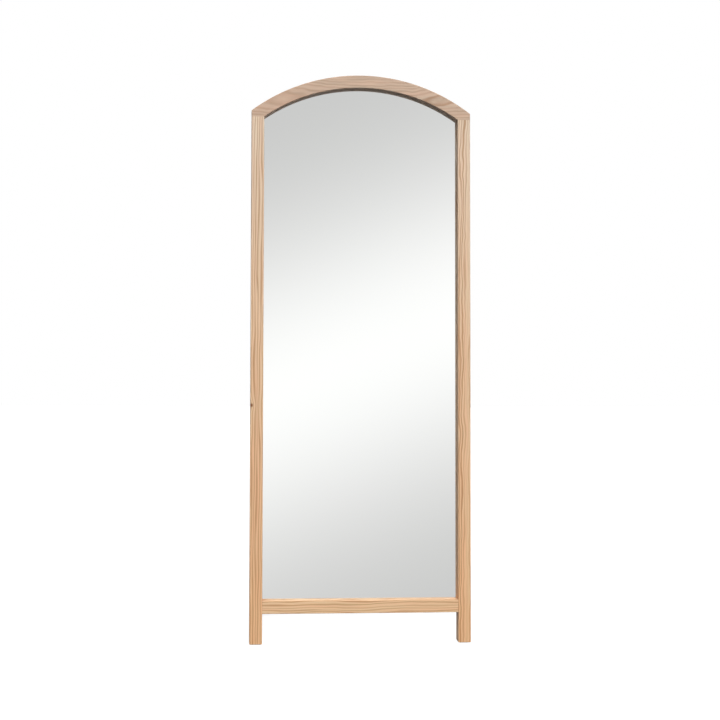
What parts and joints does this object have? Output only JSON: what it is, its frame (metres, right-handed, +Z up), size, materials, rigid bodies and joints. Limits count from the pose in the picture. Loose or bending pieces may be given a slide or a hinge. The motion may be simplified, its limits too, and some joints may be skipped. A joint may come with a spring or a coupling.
{
  "type": "arched free-standing floor mirror",
  "caption": "Full-length floor mirror in an arched pine frame that leans back on its own stile feet and a hinged rear stand, held open by sliding stays.",
  "frame": {"origin": "on the floor, at the middle of the footprint of the four feet and the frame", "axes": "+X to the viewer's right across the mirror, +Y from the glass towards the rear stand, +Z up"},
  "size_m": [0.7, 0.4126, 1.793],
  "materials": {
    "pine": "clear matt lacquer, straight grain",
    "dowel_beech": "bare fluted beech",
    "mirror": "silvered float glass, polished edge",
    "backing_board": "bare hardboard",
    "satin_steel": "satin zinc plate",
    "zinc_steel": "bright zinc plate",
    "nylon": "natural nylon"
  },
  "bodies": {
    "mirror_frame": {"left_stile": "pine", "right_stile": "pine", "arch_rail": "pine", "bottom_rail": "pine", "frame_dowels": "dowel_beech", "mirror_glass": "mirror", "backing_panel": "backing_board", "backing_screws": "zinc_steel", "frame_hinge_screws": "zinc_steel", "left_hinge_frame_leaf": "satin_steel", "left_hinge_pin": "zinc_steel", "right_hinge_frame_leaf": "satin_steel", "right_hinge_pin": "zinc_steel", "hinge_rail": "pine", "hinge_rail_screws": "zinc_steel", "left_stay_guide": "satin_steel", "right_stay_guide": "satin_steel", "stay_guide_screws": "zinc_steel", "left_front_glide": "nylon", "right_front_glide": "nylon"},
    "rear_stand": {"stand_hinge_screws": "zinc_steel", "left_hinge_stand_leaf": "satin_steel", "right_hinge_stand_leaf": "satin_steel", "stand_dowels": "dowel_beech", "left_stand_leg": "pine", "left_stay_pivot": "zinc_steel", "left_stay_washer": "nylon", "right_stand_leg": "pine", "right_stay_pivot": "zinc_steel", "right_stay_washer": "nylon", "stand_top_rail": "pine", "stand_lower_rail": "pine", "left_stand_leg_glide": "nylon", "right_stand_leg_glide": "nylon"},
    "left_stay": {"left_stay_bar": "satin_steel", "left_slide_stud": "zinc_steel"},
    "right_stay": {"right_stay_bar": "satin_steel", "right_slide_stud": "zinc_steel"}
  },
  "joints": [
    {"name": "stand_fold", "type": "hinge", "parent": "mirror_frame", "child": "rear_stand", "pos_m": [0, -0.03887, 1.16984], "axis": [-1, 0, 0], "range_deg": [0, 17]},
    {"name": "left_stay_turn", "type": "hinge", "parent": "rear_stand", "child": "left_stay", "pos_m": [-0.301, 0.00032, 0.92294], "axis": [-1, 0, 0], "range_deg": [-34, 0]},
    {"name": "right_stay_turn", "type": "hinge", "parent": "rear_stand", "child": "right_stay", "pos_m": [0.301, 0.00032, 0.92294], "axis": [-1, 0, 0], "range_deg": [-34, 0]}
  ],
  "couplings": [
    {"joint": "left_stay_turn", "follows": "stand_fold", "ratio": -2},
    {"joint": "right_stay_turn", "follows": "stand_fold", "ratio": -2}
  ]
}
